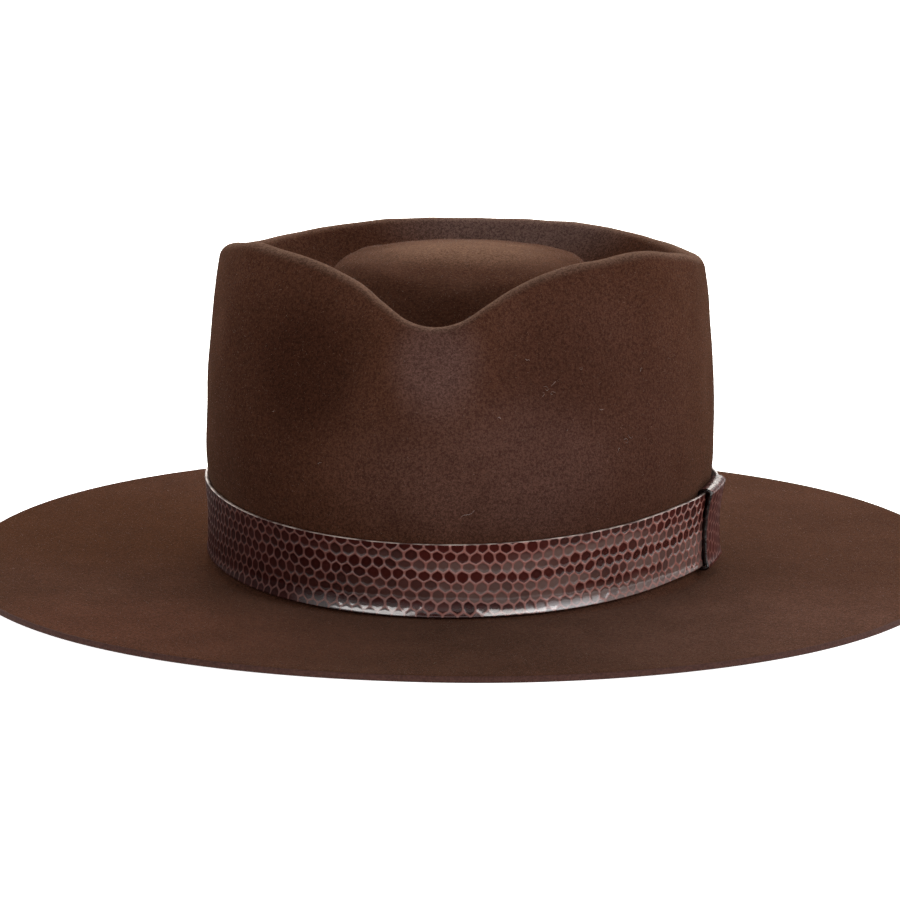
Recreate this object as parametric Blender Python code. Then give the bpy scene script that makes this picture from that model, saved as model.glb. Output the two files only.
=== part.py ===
"""Wide-brim felt fedora with a scale-grain leather band, at full size, in metres, +Z up.

The front of the hat faces -Y, so +X is the right-hand side of someone who looks at its front.
The origin is the centre of the head opening, on the plane that the brim rests on.

Every form is a function of an azimuth around the hat, 0 at the front and 90 degrees at +X, and
of a height. The two sides of the crown are alike, and only the keeper sits on one side.
"""
import math

import bmesh
import bpy
import numpy as np

MM = 0.001

# The head opening, inside the felt where the band draws it in.
HEAD_WIDTH = 168.8 * MM
HEAD_LENGTH = 202.4 * MM
FELT = 2.2 * MM

# The brim, flat, with a cut edge.
BRIM_WIDTH = 86.3 * MM
BREAK_RADIUS = 4.0 * MM

# The crown. Heights are above the plane that the brim rests on.
CROWN_HEIGHT = 118.5 * MM
CROWN_SWELL = 1.8 * MM
SWELL_RUN = 26.0 * MM
LEAN_START = 46.0 * MM
LEAN_POWER = 2.2
RIM_RADIUS = 4.6 * MM

# How far the island in the middle of the crown's top lies under the highest part of the rim.
ISLAND_DROP = 6.5 * MM

# The pinch at the front of the crown.
PINCH_DROP = 20.5 * MM
PINCH_LEAN = 15.0 * MM
DENT_DEPTH = 7.5 * MM
DENT_FOOT = 42.0 * MM
DENT_HEAD = 88.0 * MM

# The dip between the rim and the island of the crown's top.
MOAT_DEPTH = 21.0 * MM
RIM_INNER_TILT = math.radians(58.0)
SHOULDER_ROUNDNESS = 1.3

# The leather band. It dips at the front and back, and its foot follows the break outwards.
BAND_WIDTH = 25.7 * MM
BAND_LEATHER = 1.1 * MM
BAND_LIFT = 0.9 * MM
BAND_SIDE_RISE = 3.9 * MM
FLARE_SHARE = 1.4
FLARE_RUN_SHARE = 1.75
SEAT_GAP = 0.3 * MM

# The keeper, a leather loop round the band, on the +X side. Its inner leg holds the band off.
KEEPER_AZIMUTH = math.radians(80.5)
KEEPER_WIDTH = 23.0 * MM
KEEPER_LEATHER = 1.3 * MM
KEEPER_SWELL = 1.0 * MM
STANDOFF_RUN = math.radians(17.0)

# Half the stretch that stands off at full height, as a share of the keeper's width.
STANDOFF_SHARE = 0.6

# Colours and roughness of the materials.
FELT_COLOUR = (0.065, 0.030, 0.021)
FELT_ROUGHNESS = 0.95
LEATHER_COLOUR = (0.030, 0.008, 0.006)
LEATHER_ROUGHNESS = 0.28

# Edges sharper than these are not shaded smooth.
FELT_SHARP = math.radians(60.0)
LEATHER_SHARP = math.radians(40.0)

# Mesh density.
AZIMUTHS = 72
BRIM_RINGS = 4
BREAK_RINGS = 3
WALL_RINGS = 9
RIM_RINGS = 5
MOAT_RINGS = 4
ISLAND_RINGS = 7
BAND_ROWS = 4
KEEPER_COLUMNS = 8
KEEPER_FOLD_STEPS = 3

# Squareness of the ovals: 2 is an ellipse, and more is fuller at the corners.
HEAD_SQUARENESS = 2.0
BRIM_SQUARENESS = 2.08

# One row for each section of the crown, the same on both sides.
# azimuth: degrees from the front.
# lean: how far the rim stands inside the wall below it, as a share of PINCH_LEAN.
# dent: depth of the dent beside the nose, as a share of DENT_DEPTH.
# drop: how far the rim lies under CROWN_HEIGHT, as a share of PINCH_DROP.
# moat: reach of the moat's floor, as a share of the rim's reach.
# depth: depth of the moat's floor under the rim, as a share of MOAT_DEPTH.
# shoulder: reach of the island's shoulder, as a share of the rim's reach.
# fall: how far the shoulder lies under the island's top, as a share of MOAT_DEPTH.
SECTION_COLUMNS = ("azimuth", "lean", "dent", "drop", "moat", "depth", "shoulder", "fall")
SECTIONS = (
    (0.0, 0.93, 0.00, 1.00, 0.80, 0.50, 0.46, 0.44),
    (6.0, 0.92, 0.08, 0.90, 0.80, 0.54, 0.46, 0.43),
    (12.0, 0.90, 0.50, 0.66, 0.80, 0.64, 0.46, 0.40),
    (20.0, 0.86, 1.00, 0.39, 0.80, 0.76, 0.47, 0.34),
    (30.0, 0.82, 0.96, 0.18, 0.79, 0.86, 0.48, 0.28),
    (42.0, 0.76, 0.55, 0.06, 0.79, 0.94, 0.49, 0.24),
    (55.0, 0.62, 0.16, 0.00, 0.78, 1.00, 0.50, 0.22),
    (70.0, 0.42, 0.01, 0.14, 0.78, 1.00, 0.50, 0.20),
    (90.0, 0.31, 0.00, 0.38, 0.78, 0.95, 0.51, 0.20),
    (120.0, 0.38, 0.00, 0.53, 0.78, 0.92, 0.52, 0.20),
    (150.0, 0.58, 0.00, 0.48, 0.78, 0.90, 0.52, 0.20),
    (180.0, 0.72, 0.00, 0.46, 0.78, 0.90, 0.52, 0.20),
)


def clear_scene():
    """Remove whatever the scene holds."""
    for item in list(bpy.data.objects):
        bpy.data.objects.remove(item, do_unlink=True)


def smooth_step(value):
    """Ease from 0 to 1 with level ends."""
    t = np.clip(value, 0.0, 1.0)
    return t * t * (3.0 - 2.0 * t)


def hermite(t, start, end, start_slope, end_slope):
    """Cubic from start to end over t in 0 to 1, with the given slopes per unit of t."""
    t2 = t * t
    t3 = t2 * t
    value = (2.0 * t3 - 3.0 * t2 + 1.0) * start + (3.0 * t2 - 2.0 * t3) * end
    return value + (t3 - 2.0 * t2 + t) * start_slope + (t3 - t2) * end_slope


def column_curve(name, azimuth):
    """Read one column of the section table at any azimuth, on a smooth curve."""
    index = SECTION_COLUMNS.index(name)
    half = [(row[0], row[index]) for row in SECTIONS]
    mirrored = [(-place, share) for place, share in half[1:3]][::-1]
    beyond = [(360.0 - place, share) for place, share in half[-3:-1]][::-1]
    rows = np.array(mirrored + half + beyond)
    places = np.radians(rows[:, 0])
    shares = rows[:, 1]
    slopes = np.gradient(shares, places)
    folded = abs((azimuth + math.pi) % (2.0 * math.pi) - math.pi)
    row = min(int(np.searchsorted(places, folded, side="right")) - 1, len(places) - 2)
    span = places[row + 1] - places[row]
    t = (folded - places[row]) / span
    return hermite(t, shares[row], shares[row + 1], slopes[row] * span, slopes[row + 1] * span)


def section(azimuth):
    """All columns of the section table at one azimuth, by name."""
    return {name: column_curve(name, azimuth) for name in SECTION_COLUMNS[1:]}


def oval_reach(azimuth, half_width, half_length, squareness):
    """Distance from the axis to an oval, in the direction of an azimuth."""
    across = abs(math.sin(azimuth) / half_width) ** squareness
    along = abs(math.cos(azimuth) / half_length) ** squareness
    return (across + along) ** (-1.0 / squareness)


def waist_reach(azimuth):
    """Reach of the felt's outer face where the band draws it in."""
    return oval_reach(azimuth, 0.5 * HEAD_WIDTH + FELT, 0.5 * HEAD_LENGTH + FELT, HEAD_SQUARENESS)


def brim_reach(azimuth):
    """Reach of the brim's cut edge."""
    margin = FELT + BRIM_WIDTH
    return oval_reach(azimuth, 0.5 * HEAD_WIDTH + margin, 0.5 * HEAD_LENGTH + margin, BRIM_SQUARENESS)


def rim_height(row):
    """Height of the rim's crest at a section."""
    return CROWN_HEIGHT - row["drop"] * PINCH_DROP


def wall_reach(azimuth, height, row):
    """Reach of the felt's outer face at a height on the crown's wall."""
    swell_foot = FELT + BAND_LIFT + 0.5 * (BAND_WIDTH + BAND_SIDE_RISE)
    swell = CROWN_SWELL * smooth_step((height - swell_foot) / SWELL_RUN)
    rise = max(0.0, height - LEAN_START) / (rim_height(row) - LEAN_START)
    lean = row["lean"] * PINCH_LEAN * rise ** LEAN_POWER
    dent = row["dent"] * DENT_DEPTH * smooth_step((height - DENT_FOOT) / (DENT_HEAD - DENT_FOOT))
    return waist_reach(azimuth) + swell - lean - dent


def on_azimuth(azimuth, reach, height):
    """The point at a reach and a height, in the direction of an azimuth."""
    return (reach * math.sin(azimuth), -reach * math.cos(azimuth), height)


def brim_profile(azimuth):
    """Reach and height of the brim's upper face, from the cut edge to the break."""
    outer = brim_reach(azimuth)
    inner = waist_reach(azimuth) + BREAK_RADIUS
    shares = np.linspace(0.0, 1.0, BRIM_RINGS + 1)
    return [(outer + (inner - outer) * t, FELT) for t in shares]


def break_profile(azimuth):
    """The fillet from the brim up into the wall, without its first point."""
    centre = waist_reach(azimuth) + BREAK_RADIUS
    middle = FELT + BREAK_RADIUS
    angles = np.linspace(0.0, 0.5 * math.pi, BREAK_RINGS + 1)[1:]
    return [(centre - BREAK_RADIUS * math.sin(a), middle - BREAK_RADIUS * math.cos(a)) for a in angles]


def wall_top(azimuth, row):
    """Height and lean angle where the wall meets the roll of the rim."""
    step = 1.0 * MM
    height = rim_height(row) - RIM_RADIUS
    closing = wall_reach(azimuth, height - step, row) - wall_reach(azimuth, height, row)
    angle = math.atan2(closing, step)
    return height + RIM_RADIUS * math.sin(angle), angle


def wall_profile(azimuth, row):
    """The wall from the break to the roll of the rim, without its first point."""
    top = wall_top(azimuth, row)[0]
    foot = FELT + BREAK_RADIUS
    heights = foot + (top - foot) * np.linspace(0.0, 1.0, WALL_RINGS + 1)[1:]
    return [(wall_reach(azimuth, height, row), height) for height in heights]


def inner_tilt(reach, row):
    """Angle at which the inside of the rim falls away, less where the moat is shallow."""
    run = (1.0 - row["moat"]) * reach
    steepest = math.atan2(2.0 * row["depth"] * MOAT_DEPTH, run)
    return min(RIM_INNER_TILT, steepest)


def rim_profile(azimuth, row):
    """The roll over the rim, without its first point."""
    top, angle = wall_top(azimuth, row)
    reach = wall_reach(azimuth, top, row)
    centre = reach - RIM_RADIUS * math.cos(angle)
    middle = top - RIM_RADIUS * math.sin(angle)
    end = 0.5 * math.pi + inner_tilt(reach, row)
    angles = np.linspace(angle, end, RIM_RINGS + 1)[1:]
    return [(centre + RIM_RADIUS * math.cos(a), middle + RIM_RADIUS * math.sin(a)) for a in angles]


def top_profile(row, rim_reach, rim_edge):
    """From the inside of the rim down into the moat and over the island, without its first point.

    The last ring stops short of the axis, where all sections share one point.
    """
    moat_reach = row["moat"] * rim_reach
    moat_floor = rim_height(row) - row["depth"] * MOAT_DEPTH
    run = rim_reach - moat_reach
    rim_slope = -math.tan(inner_tilt(rim_reach, row)) * run
    points = []
    for t in np.linspace(0.0, 1.0, MOAT_RINGS + 1)[1:]:
        points.append((rim_reach - t * run, hermite(t, rim_edge, moat_floor, rim_slope, 0.0)))
    shoulder_reach = row["shoulder"] * rim_reach
    island = CROWN_HEIGHT - ISLAND_DROP
    shoulder = island - row["fall"] * MOAT_DEPTH
    rise = moat_reach - shoulder_reach
    slope = SHOULDER_ROUNDNESS * (island - shoulder) / shoulder_reach
    side_rings = (ISLAND_RINGS + 1) // 2
    for t in np.linspace(0.0, 1.0, side_rings + 1)[1:]:
        points.append((moat_reach - t * rise, hermite(t, moat_floor, shoulder, 0.0, slope * rise)))
    dome_rings = ISLAND_RINGS - side_rings + 1
    for t in np.linspace(0.0, 1.0, dome_rings + 1)[1:-1]:
        height = hermite(t, shoulder, island, slope * shoulder_reach, 0.0)
        points.append((shoulder_reach * (1.0 - t), height))
    return points


def felt_profile(azimuth):
    """Every reach and height of the felt's outer face, from the brim's edge inwards."""
    row = section(azimuth)
    points = brim_profile(azimuth) + break_profile(azimuth) + wall_profile(azimuth, row)
    points += rim_profile(azimuth, row)
    return points + top_profile(row, *points[-1])


def add_loop(mesh, points):
    """Add the vertices of one closed loop."""
    return [mesh.verts.new(point) for point in points]


def bridge(mesh, first, second):
    """Join two equal closed loops of vertices with quads."""
    for index in range(len(first)):
        following = (index + 1) % len(first)
        mesh.faces.new((first[index], first[following], second[following], second[index]))


def add_object(name, mesh, material, sharp_angle):
    """Turn a bmesh into an object with one material, shaded smooth but for its edges."""
    data = bpy.data.meshes.new(name)
    bmesh.ops.recalc_face_normals(mesh, faces=mesh.faces)
    mesh.to_mesh(data)
    mesh.free()
    data.shade_smooth()
    data.set_sharp_from_angle(angle=sharp_angle)
    data.materials.append(material)
    item = bpy.data.objects.new(name, data)
    bpy.context.scene.collection.objects.link(item)
    return item


def plain_material(name, colour, roughness):
    """A Principled material of one colour."""
    material = bpy.data.materials.new(name)
    material.use_nodes = True
    shader = material.node_tree.nodes["Principled BSDF"]
    shader.inputs["Base Color"].default_value = (*colour, 1.0)
    shader.inputs["Roughness"].default_value = roughness
    shader.inputs["Metallic"].default_value = 0.0
    return material


def circle_azimuths(count):
    """Azimuths evenly round the hat."""
    return [2.0 * math.pi * index / count for index in range(count)]


def build_felt():
    """Crown and brim, one felt shell open at the head."""
    azimuths = circle_azimuths(AZIMUTHS)
    profiles = [felt_profile(azimuth) for azimuth in azimuths]
    mesh = bmesh.new()
    loops = []
    for level in range(len(profiles[0])):
        ring = [on_azimuth(a, *profile[level]) for a, profile in zip(azimuths, profiles)]
        loops.append(add_loop(mesh, ring))
    for lower, upper in zip(loops, loops[1:]):
        bridge(mesh, lower, upper)
    middle = mesh.verts.new((0.0, 0.0, CROWN_HEIGHT - ISLAND_DROP))
    last = loops[-1]
    for index in range(AZIMUTHS):
        mesh.faces.new((last[index], last[(index + 1) % AZIMUTHS], middle))
    felt = plain_material("brown_felt", FELT_COLOUR, FELT_ROUGHNESS)
    body = add_object("felt_body", mesh, felt, FELT_SHARP)
    wall = body.modifiers.new("felt_thickness", "SOLIDIFY")
    wall.thickness = FELT
    wall.offset = -1.0
    wall.use_even_offset = True
    wall.use_rim = True


def break_offset(height):
    """How far the fillet of the break stands out from the wall at a height."""
    depth = np.clip(FELT + BREAK_RADIUS - height, 0.0, BREAK_RADIUS)
    return BREAK_RADIUS - math.sqrt(BREAK_RADIUS ** 2 - depth ** 2)


def standoff(azimuth):
    """How far the keeper's inner leg holds the band off the felt, fading away on both sides."""
    turn = abs((azimuth - KEEPER_AZIMUTH + math.pi) % (2.0 * math.pi) - math.pi)
    leg = STANDOFF_SHARE * KEEPER_WIDTH / waist_reach(KEEPER_AZIMUTH)
    return (KEEPER_LEATHER + SEAT_GAP) * smooth_step(1.0 - (turn - leg) / STANDOFF_RUN)


def band_foot(azimuth):
    """Height of the band's lower edge."""
    return FELT + BAND_LIFT + BAND_SIDE_RISE * math.sin(azimuth) ** 2


def band_inner_reach(azimuth, height, row):
    """Reach of the band's inner face: on the felt, easing out over the break at its foot."""
    lowest = FELT + BAND_LIFT
    ease = np.clip(1.0 - (height - lowest) / (FLARE_RUN_SHARE * BREAK_RADIUS), 0.0, 1.0)
    flare = FLARE_SHARE * break_offset(lowest) * ease ** 2
    return wall_reach(azimuth, height, row) + SEAT_GAP + flare + standoff(azimuth)


def band_section(azimuth):
    """Reach and height of the band's inner face and of its outer face, both from foot to top."""
    row = section(azimuth)
    foot = band_foot(azimuth)
    heights = foot + BAND_WIDTH * np.linspace(0.0, 1.0, BAND_ROWS + 1)
    inner = [(band_inner_reach(azimuth, height, row), height) for height in heights]
    outer = [(reach + BAND_LEATHER, height) for reach, height in inner]
    return inner, outer


def build_band():
    """The leather strip round the foot of the crown, a closed ring."""
    mesh = bmesh.new()
    loops = []
    for azimuth in circle_azimuths(AZIMUTHS):
        inner, outer = band_section(azimuth)
        loops.append(add_loop(mesh, [on_azimuth(azimuth, *point) for point in inner + outer[::-1]]))
    for near, far in zip(loops, loops[1:] + loops[:1]):
        bridge(mesh, near, far)
    leather = plain_material("scale_leather", LEATHER_COLOUR, LEATHER_ROUGHNESS)
    add_object("hat_band", mesh, leather, LEATHER_SHARP)


def keeper_fold(start, end, rise):
    """Points over a half turn between two legs, bulging up or down by a rise."""
    middle = 0.5 * (start[0] + end[0])
    half = 0.5 * (start[0] - end[0])
    angles = [math.pi * step / (KEEPER_FOLD_STEPS + 1) for step in range(1, KEEPER_FOLD_STEPS + 1)]
    return [(middle + half * math.cos(angle), start[1] + rise * math.sin(angle)) for angle in angles]


def keeper_outline(azimuth, grow):
    """Closed outline round the band's section at a distance, with a fuller fold at its top."""
    inner, outer = band_section(azimuth)
    inner_leg = [(reach - grow, height) for reach, height in inner]
    outer_leg = []
    for index, (reach, height) in enumerate(outer):
        swell = KEEPER_SWELL * (index / BAND_ROWS) ** 3
        outer_leg.append((reach + grow + swell, height))
    top_fold = keeper_fold(inner_leg[-1], outer_leg[-1], grow)
    foot_fold = keeper_fold(outer_leg[0], inner_leg[0], -grow)
    return inner_leg + top_fold + outer_leg[::-1] + foot_fold


def build_keeper():
    """The loop that hides the band's joint."""
    half_turn = 0.5 * KEEPER_WIDTH / waist_reach(KEEPER_AZIMUTH)
    azimuths = KEEPER_AZIMUTH + half_turn * np.linspace(-1.0, 1.0, KEEPER_COLUMNS + 1)
    mesh = bmesh.new()
    holes = []
    skins = []
    for azimuth in azimuths:
        for loops, grow in ((holes, SEAT_GAP), (skins, SEAT_GAP + KEEPER_LEATHER)):
            outline = [on_azimuth(azimuth, *point) for point in keeper_outline(azimuth, grow)]
            loops.append(add_loop(mesh, outline))
    for loops in (holes, skins):
        for near, far in zip(loops, loops[1:]):
            bridge(mesh, near, far)
    for end in (0, -1):
        bridge(mesh, holes[end], skins[end])
    leather = plain_material("keeper_leather", LEATHER_COLOUR, LEATHER_ROUGHNESS)
    add_object("band_keeper", mesh, leather, LEATHER_SHARP)


def main():
    """Build every piece of the hat."""
    clear_scene()
    build_felt()
    build_band()
    build_keeper()


main()
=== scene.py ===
"""Looks of the wide-brim felt fedora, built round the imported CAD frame.

The felt, the leather band and its keeper are modelled again here with their nap and scales, from
the same sections as the CAD part, and each one stands for its CAD node.
"""
import math

import bpy
import numpy as np
from mathutils import Matrix, Vector


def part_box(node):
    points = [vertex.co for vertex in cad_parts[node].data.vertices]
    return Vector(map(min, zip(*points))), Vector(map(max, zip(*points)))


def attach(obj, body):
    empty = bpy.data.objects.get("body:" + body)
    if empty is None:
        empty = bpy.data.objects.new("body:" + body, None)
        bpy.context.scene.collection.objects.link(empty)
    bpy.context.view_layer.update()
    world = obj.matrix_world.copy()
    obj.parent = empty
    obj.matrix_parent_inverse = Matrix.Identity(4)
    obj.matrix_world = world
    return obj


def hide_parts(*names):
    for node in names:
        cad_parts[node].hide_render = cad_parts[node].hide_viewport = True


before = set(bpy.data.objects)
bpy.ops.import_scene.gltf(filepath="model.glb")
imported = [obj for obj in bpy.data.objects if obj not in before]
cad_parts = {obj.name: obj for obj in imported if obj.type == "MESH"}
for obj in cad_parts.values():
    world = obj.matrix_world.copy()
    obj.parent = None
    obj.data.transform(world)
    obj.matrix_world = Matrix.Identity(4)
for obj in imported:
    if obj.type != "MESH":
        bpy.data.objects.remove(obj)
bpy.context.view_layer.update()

MM = 0.001
TURN = 2.0 * math.pi

# Sizes of the part, as in its source.
FELT = 2.2 * MM
BRIM_WIDTH = 86.3 * MM
BREAK_RADIUS = 4.0 * MM
CROWN_SWELL = 1.8 * MM
SWELL_RUN = 26.0 * MM
LEAN_START = 46.0 * MM
LEAN_POWER = 2.2
RIM_RADIUS = 4.6 * MM
ISLAND_DROP = 6.5 * MM
PINCH_DROP = 20.5 * MM
PINCH_LEAN = 15.0 * MM
DENT_DEPTH = 7.5 * MM
DENT_FOOT = 42.0 * MM
DENT_HEAD = 88.0 * MM
MOAT_DEPTH = 21.0 * MM
RIM_INNER_TILT = math.radians(58.0)
SHOULDER_ROUNDNESS = 1.3
BAND_WIDTH = 25.7 * MM
BAND_LEATHER = 1.1 * MM
BAND_LIFT = 0.9 * MM
BAND_SIDE_RISE = 3.9 * MM
BAND_FRONT_TRIM = 1.2 * MM
FLARE_SHARE = 1.4
FLARE_RUN_SHARE = 1.75
SEAT_GAP = 0.3 * MM
KEEPER_AZIMUTH = math.radians(80.5)
KEEPER_WIDTH = 23.0 * MM
KEEPER_LEATHER = 1.3 * MM
KEEPER_SWELL = 1.0 * MM
KEEPER_FOOT_SWELL = 0.8 * MM
STANDOFF_RUN = math.radians(17.0)
STANDOFF_SHARE = 0.6
HEAD_SQUARENESS = 2.0
BRIM_SQUARENESS = 2.08

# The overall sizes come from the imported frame.
FELT_LOW, FELT_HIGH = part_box("felt_body")
CROWN_HEIGHT = FELT_HIGH[2]
HALF_WIDTH = 0.5 * (FELT_HIGH[0] - FELT_LOW[0]) - BRIM_WIDTH
HALF_LENGTH = 0.5 * (FELT_HIGH[1] - FELT_LOW[1]) - BRIM_WIDTH

# The sections of the crown, as in the part's source: azimuth in degrees, then shares of the sizes.
SECTION_COLUMNS = ("azimuth", "lean", "dent", "drop", "moat", "depth", "shoulder", "fall")
SECTIONS = (
    (0.0, 0.93, 0.00, 1.00, 0.80, 0.50, 0.46, 0.44),
    (6.0, 0.92, 0.08, 0.90, 0.80, 0.54, 0.46, 0.43),
    (12.0, 0.90, 0.50, 0.66, 0.80, 0.64, 0.46, 0.40),
    (20.0, 0.86, 1.00, 0.39, 0.80, 0.76, 0.47, 0.34),
    (30.0, 0.82, 0.96, 0.18, 0.79, 0.86, 0.48, 0.28),
    (42.0, 0.76, 0.55, 0.06, 0.79, 0.94, 0.49, 0.24),
    (55.0, 0.62, 0.16, 0.00, 0.78, 1.00, 0.50, 0.22),
    (70.0, 0.42, 0.01, 0.14, 0.78, 1.00, 0.50, 0.20),
    (90.0, 0.31, 0.00, 0.38, 0.78, 0.95, 0.51, 0.20),
    (120.0, 0.38, 0.00, 0.53, 0.78, 0.92, 0.52, 0.20),
    (150.0, 0.58, 0.00, 0.48, 0.78, 0.90, 0.52, 0.20),
    (180.0, 0.72, 0.00, 0.46, 0.78, 0.90, 0.52, 0.20),
)

# Mesh density of the felt: columns round the hat and rings along its section.
FELT_COLUMNS = 480
BRIM_RINGS = 34
BREAK_RINGS = 6
WALL_RINGS = 48
RIM_RINGS = 10
MOAT_RINGS = 14
ISLAND_RINGS = 24
LINING_STEP = 4

# The mesh layer that carries each pattern's coordinates: columns and rows of scales on leather,
# rings counted from the rim's crest on felt. The crest is this many rings up the rim's roll.
PATTERN_LAYER = "scales"
CREST_RING = 4

# The cut edge of the brim, its corners rounded by wear.
EDGE_ROUND = 0.35 * MM

# Slow unevenness of the blocked felt.
WAVE_DEPTH = 0.22 * MM
BRIM_WAVE = 0.35 * MM
WAVE_SEED = 11

# The felt's finish: its sheen, its darkest and lightest grain, and a painted highlight along the
# rim's crest, which fades out over some rings of the mesh.
FELT_SHEEN = 0.045
SHEEN_TINT = (1.0, 0.74, 0.58)
FELT_GRAIN = (0.58, 1.42)
CREST_HIGHLIGHT = (0.150, 0.092, 0.066)
CREST_POWER = 0.42
CREST_FADE = (0.6, 4.4)

# Painted light and shade on the felt, as spots of colour: painted light on the top of the island,
# on the back wall inside the rim and on the front of the brim; a paler, greyer front of the crown,
# partly a dusty bloom and partly painted light; a cooler painted light on the right of the crown;
# and painted shade on the front slope of the island, in the dents, over the left of the crown and
# on the far sides of the brim. Centre and radii in metres, strength, colour. Each is full out to a
# share of its radii.
SPOT_CORE = 0.35
FELT_LIGHT_AND_SHADE = (
    ((0.0, 0.006, 0.116), (0.078, 0.070, 0.0108), 0.55, (0.150, 0.085, 0.056)),
    ((0.0, -0.040, 0.094), (0.060, 0.040, 0.016), 0.60, (0.016, 0.0055, 0.0028)),
    ((0.012, 0.080, 0.112), (0.060, 0.034, 0.024), 0.65, (0.112, 0.070, 0.060)),
    ((0.120, -0.115, 0.0), (0.120, 0.110, 0.012), 0.34, (0.092, 0.044, 0.032)),
    ((-0.090, -0.145, 0.0), (0.110, 0.080, 0.012), 0.26, (0.098, 0.0335, 0.0198)),
    ((-0.130, 0.030, 0.0), (0.100, 0.100, 0.012), 0.45, (0.034, 0.0105, 0.0020)),
    ((0.130, 0.030, 0.0), (0.100, 0.100, 0.012), 0.25, (0.030, 0.0110, 0.0050)),
    ((-0.055, -0.062, 0.062), (0.046, 0.050, 0.066), 0.50, (0.019, 0.0064, 0.0034)),
    ((-0.041, -0.076, 0.081), (0.030, 0.040, 0.032), 0.62, (0.017, 0.0058, 0.0032)),
    ((0.052, -0.072, 0.060), (0.062, 0.062, 0.076), 0.80, (0.043, 0.0180, 0.0122)),
    ((0.040, -0.076, 0.082), (0.026, 0.040, 0.026), 0.30, (0.022, 0.0078, 0.0044)),
    ((0.002, -0.088, 0.084), (0.020, 0.030, 0.026), 0.38, (0.094, 0.055, 0.050)),
    ((0.018, -0.090, 0.050), (0.062, 0.060, 0.034), 0.24, (0.088, 0.048, 0.041)),
)

# The nap: loose hairs that lie on the felt, and much shorter fuzz, on crown and brim alike.
HAIRS = 6000
HAIR_LENGTH = (0.5 * MM, 1.5 * MM)
HAIR_WIDTH = 0.05 * MM
HAIR_CURL = 1.2
HAIR_ROOT = 0.05 * MM
HAIR_SEED = 7
FUZZ = 48000
FUZZ_LENGTH = (0.25 * MM, 0.80 * MM)
FUZZ_WIDTH = (0.045 * MM, 0.085 * MM)
FUZZ_ROOT = 0.04 * MM
SPOKES = [(math.cos(TURN * k / 3), math.sin(TURN * k / 3)) for k in range(3)]

# Lint on the front of the crown: azimuth in degrees, height and length in millimetres, curl.
LINT_SEED = 5
LINT_WIDTH = 0.11 * MM
LINT_LIFT = 0.25 * MM
LINT = (
    (24.0, 78.0, 4.5, 5.0), (25.5, 76.0, 3.5, -4.0), (23.0, 75.0, 2.6, 3.0),
    (26.5, 79.5, 3.0, 2.0), (41.0, 58.5, 5.0, -3.5), (42.5, 60.5, 3.6, 4.0),
    (40.0, 56.0, 2.4, 2.0), (27.7, 64.0, 0.7, 6.0), (14.0, 69.0, 2.2, 1.5),
    (33.0, 84.0, 2.6, -2.0), (9.0, 40.0, 7.0, 0.8), (-22.0, 52.0, 2.0, 2.0),
    (20.0, 88.0, 2.2, 2.5), (48.0, 80.0, 2.0, -1.5), (-36.0, 66.0, 1.6, 2.0),
    (36.0, 70.0, 2.4, 3.0),
)

# The scales: pitch along and across the band, roundness of their corners, height of the net
# round them, and how far single scales tilt.
SCALE_LENGTH = 4.15 * MM
SCALE_ROW = 3.55 * MM
SCALE_ROUND = 0.26
SCALE_RELIEF = 0.13 * MM
SCALE_TILT = 0.010
SCALE_SEED = 3

# Finish of the leather. Each row of four is a range and the shares at its two ends: along x or y
# in metres, or over the rows of scales from the foot up. RUN is for runs of scales with a painted
# sheen and more gloss, LOW for the painted sheen on the lowest rows on the right, LEFT_SHADE for
# the painted shade that darkens the left, FOOT for the glare along the foot, NET for the gloss of
# the net between scales and SIDE for the sheen of the right side.
NET_GLOSS = 0.50
KEEPER_NET_SHARE = 0.35
RUN_GLOSS = 0.30
# The paler colour painted on scales for a sheen.
PAINTED_SHEEN_SCALE = (0.120, 0.075, 0.065)
RUN_STRETCH = (0.09, 0.62, 1.0)
RUN_NOISE = (0.46, 0.60)
RUN_ALONG_X = (-0.050, 0.050, 0.05, 0.85)
RUN_ROWS = (6.0, 6.7, 1.0, 0.15)
LOW_ALONG_X = (0.020, 0.060, 0.0, 1.0)
LOW_ROWS = (0.9, 2.4, 0.85, 0.0)
# Painted shade that darkens the left of the band.
LEFT_SHADE_ALONG_X = (-0.075, 0.030, 0.64, 0.0)
FOOT_ROWS = (0.35, 1.5, 1.0, 0.0)
FOOT_ALONG_X = (-0.050, -0.034, 0.03, 1.0)
FOOT_ALONG_Y = (-0.072, -0.040, 1.0, 0.15)
NET_ALONG_X = (-0.070, -0.005, 0.05, 1.0)
SIDE_ALONG_X = (0.005, 0.062, 0.0, 0.45)
SIDE_ROWS = (5.2, 6.6, 1.0, 0.0)

# Mesh density and edges of the leather, and where the relief fades out.
BAND_COLUMNS = 1320
BAND_ROWS = 60
BAND_EDGE_ROWS = 3
BAND_EDGE_ROUND = 0.35 * MM
TOP_FADE = 0.6 * MM
FOOT_FADE = 3.4 * MM
KEEPER_COLUMNS = 60
KEEPER_BEND_STEPS = 12
KEEPER_RELIEF = 0.45
KEEPER_SINK = 0.12 * MM
KEEPER_EDGE = 0.9 * MM
KEEPER_SLANT = 0.35


def smooth_step(value):
    """Ease from 0 to 1 with level ends."""
    t = np.clip(value, 0.0, 1.0)
    return t * t * (3.0 - 2.0 * t)


def hermite(t, start, end, start_slope, end_slope):
    """Cubic from start to end over t in 0 to 1, with the given slopes per unit of t."""
    t2 = t * t
    t3 = t2 * t
    value = (2.0 * t3 - 3.0 * t2 + 1.0) * start + (3.0 * t2 - 2.0 * t3) * end
    return value + (t3 - 2.0 * t2 + t) * start_slope + (t3 - t2) * end_slope


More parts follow.
